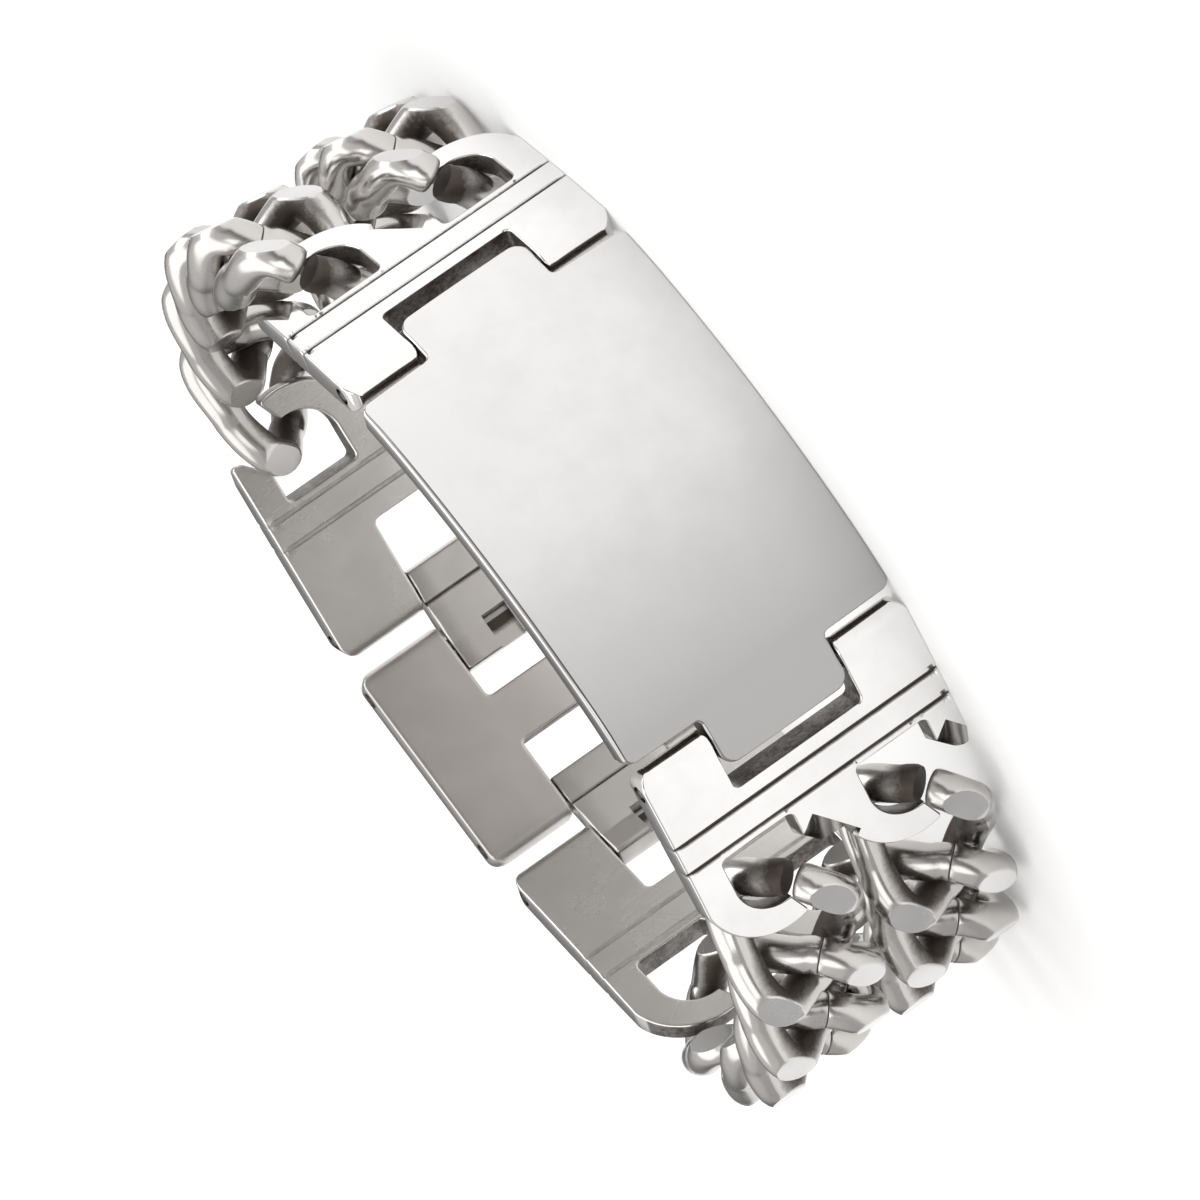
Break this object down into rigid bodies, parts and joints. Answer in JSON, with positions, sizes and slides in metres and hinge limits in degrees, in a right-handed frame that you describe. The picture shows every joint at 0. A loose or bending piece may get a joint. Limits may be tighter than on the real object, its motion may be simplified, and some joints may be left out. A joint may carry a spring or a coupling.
{
  "type": "id bracelet",
  "caption": "Polished steel identity bracelet: plain curved plate, double curb chain on each side and a two-blade latch clasp, closed and lying on its side.",
  "frame": {"origin": "middle of the wrist opening at the height of the lower edges it rests on", "axes": "+Z is the wrist axis, -Y the side with the plate, +Y the side with the clasp"},
  "size_m": [0.082, 0.0652, 0.025],
  "materials": {
    "polished_steel": "mirror polished stainless steel",
    "chain_steel": "mirror polished stainless steel with flat cut faces",
    "clasp_steel": "satin stainless steel",
    "pin_steel": "dull pin ends"
  },
  "bodies": {
    "band": {"id_plate": "polished_steel", "plate_pin_right": "pin_steel", "plate_pin_left": "pin_steel", "front_end_link_right": "polished_steel", "front_end_link_left": "polished_steel", "back_end_link_right": "polished_steel", "back_end_link_left": "polished_steel", "latch_pin_right": "pin_steel", "latch_pin_left": "pin_steel", "right_upper_link_1": "chain_steel", "right_upper_link_2": "chain_steel", "right_upper_link_3": "chain_steel", "right_upper_link_4": "chain_steel", "right_upper_link_5": "chain_steel", "right_lower_link_1": "chain_steel", "right_lower_link_2": "chain_steel", "right_lower_link_3": "chain_steel", "right_lower_link_4": "chain_steel", "right_lower_link_5": "chain_steel", "left_upper_link_1": "chain_steel", "left_upper_link_2": "chain_steel", "left_upper_link_3": "chain_steel", "left_upper_link_4": "chain_steel", "left_upper_link_5": "chain_steel", "left_lower_link_1": "chain_steel", "left_lower_link_2": "chain_steel", "left_lower_link_3": "chain_steel", "left_lower_link_4": "chain_steel", "left_lower_link_5": "chain_steel"},
    "latch_blade_right": {"latch_blade_right": "clasp_steel"},
    "latch_blade_left": {"latch_blade_left": "clasp_steel"},
    "clasp_link": {"clasp_link": "clasp_steel", "centre_pin_right": "pin_steel", "centre_pin_left": "pin_steel"}
  },
  "joints": [
    {"name": "right_latch_hinge", "type": "hinge", "parent": "band", "child": "latch_blade_right", "pos_m": [0.01301, 0.02944, 0.0125], "axis": [0, 0, 1], "range_deg": [0, 85]},
    {"name": "left_latch_hinge", "type": "hinge", "parent": "band", "child": "latch_blade_left", "pos_m": [-0.01301, 0.02944, 0.0125], "axis": [0, 0, 1], "range_deg": [0, 85]},
    {"name": "centre_link_hinge", "type": "hinge", "parent": "latch_blade_left", "child": "clasp_link", "pos_m": [-0.0077, 0.03138, 0.0125], "axis": [0, 0, 1], "range_deg": [0, 85]}
  ]
}
